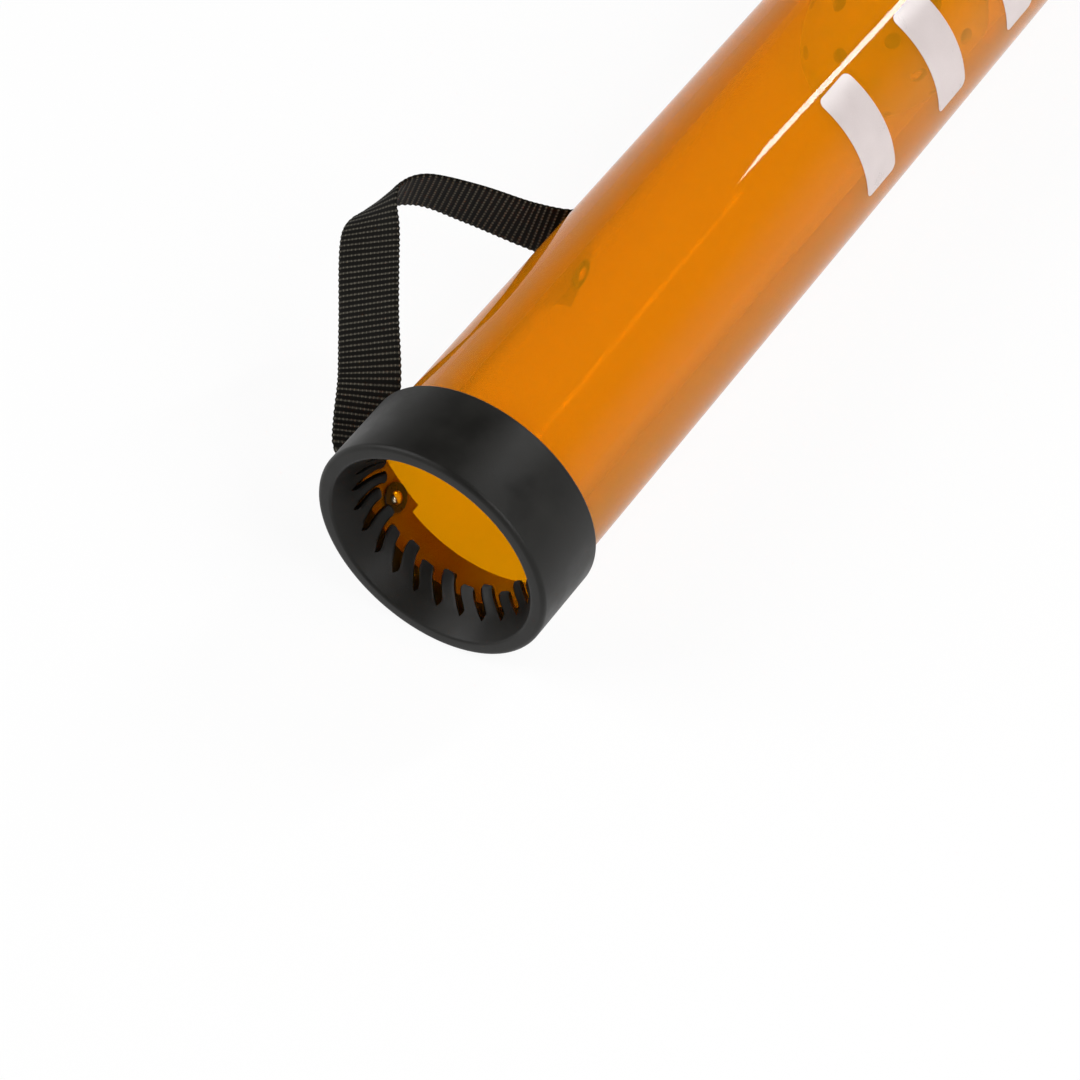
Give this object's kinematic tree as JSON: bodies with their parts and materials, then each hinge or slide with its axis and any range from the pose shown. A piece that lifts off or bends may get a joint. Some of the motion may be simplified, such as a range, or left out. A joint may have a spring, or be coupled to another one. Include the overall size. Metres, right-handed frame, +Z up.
{
  "type": "ball collecting tube",
  "caption": "Clear orange tube with a fingered rubber mouth that picks up balls and holds them, a webbing carrying strap on its side and a push-on end cap.",
  "frame": {"origin": "centre of the end cap's outer face", "axes": "+Y along the tube from its mouth to the cap, +Z up with the tube lying on its side, the strap on the -X side"},
  "size_m": [0.1553, 1.07, 0.0948],
  "materials": {
    "tube_plastic": "clear gloss",
    "rubber": "matte",
    "webbing": "woven",
    "rivet_metal": "polished",
    "washer": "satin",
    "ball_plastic": "satin"
  },
  "bodies": {
    "tube_body": {"tube": "tube_plastic", "mouth_collar": "rubber", "strap_tab_lower": "webbing", "strap_tab_upper": "webbing", "rivet_lower": "rivet_metal", "rivet_upper": "rivet_metal", "washer_inner_lower": "washer", "washer_inner_upper": "washer", "washer_outer_lower": "washer", "washer_outer_upper": "washer"},
    "strap": {"strap_loop": "webbing"},
    "cap": {"end_cap": "rubber"},
    "loaded_ball": {"ball": "ball_plastic"},
    "finger_01_body": {"finger_01": "rubber"},
    "finger_02_body": {"finger_02": "rubber"},
    "finger_03_body": {"finger_03": "rubber"},
    "finger_04_body": {"finger_04": "rubber"},
    "finger_05_body": {"finger_05": "rubber"},
    "finger_06_body": {"finger_06": "rubber"},
    "finger_07_body": {"finger_07": "rubber"},
    "finger_08_body": {"finger_08": "rubber"},
    "finger_09_body": {"finger_09": "rubber"},
    "finger_10_body": {"finger_10": "rubber"},
    "finger_11_body": {"finger_11": "rubber"},
    "finger_12_body": {"finger_12": "rubber"},
    "finger_13_body": {"finger_13": "rubber"},
    "finger_14_body": {"finger_14": "rubber"},
    "finger_15_body": {"finger_15": "rubber"},
    "finger_16_body": {"finger_16": "rubber"},
    "finger_17_body": {"finger_17": "rubber"},
    "finger_18_body": {"finger_18": "rubber"},
    "finger_19_body": {"finger_19": "rubber"},
    "finger_20_body": {"finger_20": "rubber"},
    "finger_21_body": {"finger_21": "rubber"},
    "finger_22_body": {"finger_22": "rubber"},
    "finger_23_body": {"finger_23": "rubber"},
    "finger_24_body": {"finger_24": "rubber"}
  },
  "joints": [
    {"name": "finger_01_flex", "type": "hinge", "parent": "tube_body", "child": "finger_01_body", "pos_m": [-0.03751, -1.0614, 0.00797], "axis": [0.2079, 0, 0.9781], "range_deg": [0, 30], "stiffness_Nm_per_rad": 0.01, "springref_deg": -5.73},
    {"name": "finger_02_flex", "type": "hinge", "parent": "tube_body", "child": "finger_02_body", "pos_m": [-0.03824, -1.06143, -0.002], "axis": [-0.0523, 0, 0.9986], "range_deg": [0, 30], "stiffness_Nm_per_rad": 0.01, "springref_deg": -5.73},
    {"name": "finger_03_flex", "type": "hinge", "parent": "tube_body", "child": "finger_03_body", "pos_m": [-0.03647, -1.0614, -0.01185], "axis": [-0.309, 0, 0.9511], "range_deg": [0, 30], "stiffness_Nm_per_rad": 0.01, "springref_deg": -5.73},
    {"name": "finger_04_flex", "type": "hinge", "parent": "tube_body", "child": "finger_04_body", "pos_m": [-0.03212, -1.06143, -0.02086], "axis": [-0.5446, 0, 0.8387], "range_deg": [0, 30], "stiffness_Nm_per_rad": 0.01, "springref_deg": -5.73},
    {"name": "finger_05_flex", "type": "hinge", "parent": "tube_body", "child": "finger_05_body", "pos_m": [-0.02566, -1.0614, -0.02849], "axis": [-0.7431, 0, 0.6691], "range_deg": [0, 30], "stiffness_Nm_per_rad": 0.01, "springref_deg": -5.73},
    {"name": "finger_06_flex", "type": "hinge", "parent": "tube_body", "child": "finger_06_body", "pos_m": [-0.01739, -1.06143, -0.03412], "axis": [-0.891, 0, 0.454], "range_deg": [0, 30], "stiffness_Nm_per_rad": 0.01, "springref_deg": -5.73},
    {"name": "finger_07_flex", "type": "hinge", "parent": "tube_body", "child": "finger_07_body", "pos_m": [-0.00797, -1.0614, -0.03751], "axis": [-0.9781, 0, 0.2079], "range_deg": [0, 30], "stiffness_Nm_per_rad": 0.01, "springref_deg": -5.73},
    {"name": "finger_08_flex", "type": "hinge", "parent": "tube_body", "child": "finger_08_body", "pos_m": [0.002, -1.06143, -0.03824], "axis": [-0.9986, 0, -0.0523], "range_deg": [0, 30], "stiffness_Nm_per_rad": 0.01, "springref_deg": -5.73},
    {"name": "finger_09_flex", "type": "hinge", "parent": "tube_body", "child": "finger_09_body", "pos_m": [0.01185, -1.0614, -0.03647], "axis": [-0.9511, 0, -0.309], "range_deg": [0, 30], "stiffness_Nm_per_rad": 0.01, "springref_deg": -5.73},
    {"name": "finger_10_flex", "type": "hinge", "parent": "tube_body", "child": "finger_10_body", "pos_m": [0.02086, -1.06143, -0.03212], "axis": [-0.8387, 0, -0.5446], "range_deg": [0, 30], "stiffness_Nm_per_rad": 0.01, "springref_deg": -5.73},
    {"name": "finger_11_flex", "type": "hinge", "parent": "tube_body", "child": "finger_11_body", "pos_m": [0.02849, -1.0614, -0.02566], "axis": [-0.6691, 0, -0.7431], "range_deg": [0, 30], "stiffness_Nm_per_rad": 0.01, "springref_deg": -5.73},
    {"name": "finger_12_flex", "type": "hinge", "parent": "tube_body", "child": "finger_12_body", "pos_m": [0.03412, -1.06143, -0.01739], "axis": [-0.454, 0, -0.891], "range_deg": [0, 30], "stiffness_Nm_per_rad": 0.01, "springref_deg": -5.73},
    {"name": "finger_13_flex", "type": "hinge", "parent": "tube_body", "child": "finger_13_body", "pos_m": [0.03751, -1.0614, -0.00797], "axis": [-0.2079, 0, -0.9781], "range_deg": [0, 30], "stiffness_Nm_per_rad": 0.01, "springref_deg": -5.73},
    {"name": "finger_14_flex", "type": "hinge", "parent": "tube_body", "child": "finger_14_body", "pos_m": [0.03824, -1.06143, 0.002], "axis": [0.0523, 0, -0.9986], "range_deg": [0, 30], "stiffness_Nm_per_rad": 0.01, "springref_deg": -5.73},
    {"name": "finger_15_flex", "type": "hinge", "parent": "tube_body", "child": "finger_15_body", "pos_m": [0.03647, -1.0614, 0.01185], "axis": [0.309, 0, -0.9511], "range_deg": [0, 30], "stiffness_Nm_per_rad": 0.01, "springref_deg": -5.73},
    {"name": "finger_16_flex", "type": "hinge", "parent": "tube_body", "child": "finger_16_body", "pos_m": [0.03212, -1.06143, 0.02086], "axis": [0.5446, 0, -0.8387], "range_deg": [0, 30], "stiffness_Nm_per_rad": 0.01, "springref_deg": -5.73},
    {"name": "finger_17_flex", "type": "hinge", "parent": "tube_body", "child": "finger_17_body", "pos_m": [0.02566, -1.0614, 0.02849], "axis": [0.7431, 0, -0.6691], "range_deg": [0, 30], "stiffness_Nm_per_rad": 0.01, "springref_deg": -5.73},
    {"name": "finger_18_flex", "type": "hinge", "parent": "tube_body", "child": "finger_18_body", "pos_m": [0.01739, -1.06143, 0.03412], "axis": [0.891, 0, -0.454], "range_deg": [0, 30], "stiffness_Nm_per_rad": 0.01, "springref_deg": -5.73},
    {"name": "finger_19_flex", "type": "hinge", "parent": "tube_body", "child": "finger_19_body", "pos_m": [0.00797, -1.0614, 0.03751], "axis": [0.9781, 0, -0.2079], "range_deg": [0, 30], "stiffness_Nm_per_rad": 0.01, "springref_deg": -5.73},
    {"name": "finger_20_flex", "type": "hinge", "parent": "tube_body", "child": "finger_20_body", "pos_m": [-0.002, -1.06143, 0.03824], "axis": [0.9986, 0, 0.0523], "range_deg": [0, 30], "stiffness_Nm_per_rad": 0.01, "springref_deg": -5.73},
    {"name": "finger_21_flex", "type": "hinge", "parent": "tube_body", "child": "finger_21_body", "pos_m": [-0.01185, -1.0614, 0.03647], "axis": [0.9511, 0, 0.309], "range_deg": [0, 30], "stiffness_Nm_per_rad": 0.01, "springref_deg": -5.73},
    {"name": "finger_22_flex", "type": "hinge", "parent": "tube_body", "child": "finger_22_body", "pos_m": [-0.02086, -1.06143, 0.03212], "axis": [0.8387, 0, 0.5446], "range_deg": [0, 30], "stiffness_Nm_per_rad": 0.01, "springref_deg": -5.73},
    {"name": "finger_23_flex", "type": "hinge", "parent": "tube_body", "child": "finger_23_body", "pos_m": [-0.02849, -1.0614, 0.02566], "axis": [0.6691, 0, 0.7431], "range_deg": [0, 30], "stiffness_Nm_per_rad": 0.01, "springref_deg": -5.73},
    {"name": "finger_24_flex", "type": "hinge", "parent": "tube_body", "child": "finger_24_body", "pos_m": [-0.03412, -1.06143, 0.01739], "axis": [0.454, 0, 0.891], "range_deg": [0, 30], "stiffness_Nm_per_rad": 0.01, "springref_deg": -5.73},
    {"name": "strap_swing", "type": "hinge", "parent": "tube_body", "child": "strap", "pos_m": [-0.0459, -1.0385, -0.01581], "axis": [0.0069, -0.991, -0.1339], "range_deg": [0, 18], "stiffness_Nm_per_rad": 0.03, "springref_deg": -20.05},
    {"name": "end_cap_pull", "type": "slide", "parent": "tube_body", "child": "cap", "axis": [0, 1, 0], "range_m": [0, 0.05]},
    {"name": "ball_slide", "type": "slide", "parent": "tube_body", "child": "loaded_ball", "axis": [0, 1, 0], "range_m": [-0.289, 0.689]}
  ],
  "couplings": [
    {"joint": "finger_02_flex", "follows": "finger_01_flex", "ratio": 1},
    {"joint": "finger_03_flex", "follows": "finger_01_flex", "ratio": 1},
    {"joint": "finger_04_flex", "follows": "finger_01_flex", "ratio": 1},
    {"joint": "finger_05_flex", "follows": "finger_01_flex", "ratio": 1},
    {"joint": "finger_06_flex", "follows": "finger_01_flex", "ratio": 1},
    {"joint": "finger_07_flex", "follows": "finger_01_flex", "ratio": 1},
    {"joint": "finger_08_flex", "follows": "finger_01_flex", "ratio": 1},
    {"joint": "finger_09_flex", "follows": "finger_01_flex", "ratio": 1},
    {"joint": "finger_10_flex", "follows": "finger_01_flex", "ratio": 1},
    {"joint": "finger_11_flex", "follows": "finger_01_flex", "ratio": 1},
    {"joint": "finger_12_flex", "follows": "finger_01_flex", "ratio": 1},
    {"joint": "finger_13_flex", "follows": "finger_01_flex", "ratio": 1},
    {"joint": "finger_14_flex", "follows": "finger_01_flex", "ratio": 1},
    {"joint": "finger_15_flex", "follows": "finger_01_flex", "ratio": 1},
    {"joint": "finger_16_flex", "follows": "finger_01_flex", "ratio": 1},
    {"joint": "finger_17_flex", "follows": "finger_01_flex", "ratio": 1},
    {"joint": "finger_18_flex", "follows": "finger_01_flex", "ratio": 1},
    {"joint": "finger_19_flex", "follows": "finger_01_flex", "ratio": 1},
    {"joint": "finger_20_flex", "follows": "finger_01_flex", "ratio": 1},
    {"joint": "finger_21_flex", "follows": "finger_01_flex", "ratio": 1},
    {"joint": "finger_22_flex", "follows": "finger_01_flex", "ratio": 1},
    {"joint": "finger_23_flex", "follows": "finger_01_flex", "ratio": 1},
    {"joint": "finger_24_flex", "follows": "finger_01_flex", "ratio": 1}
  ]
}
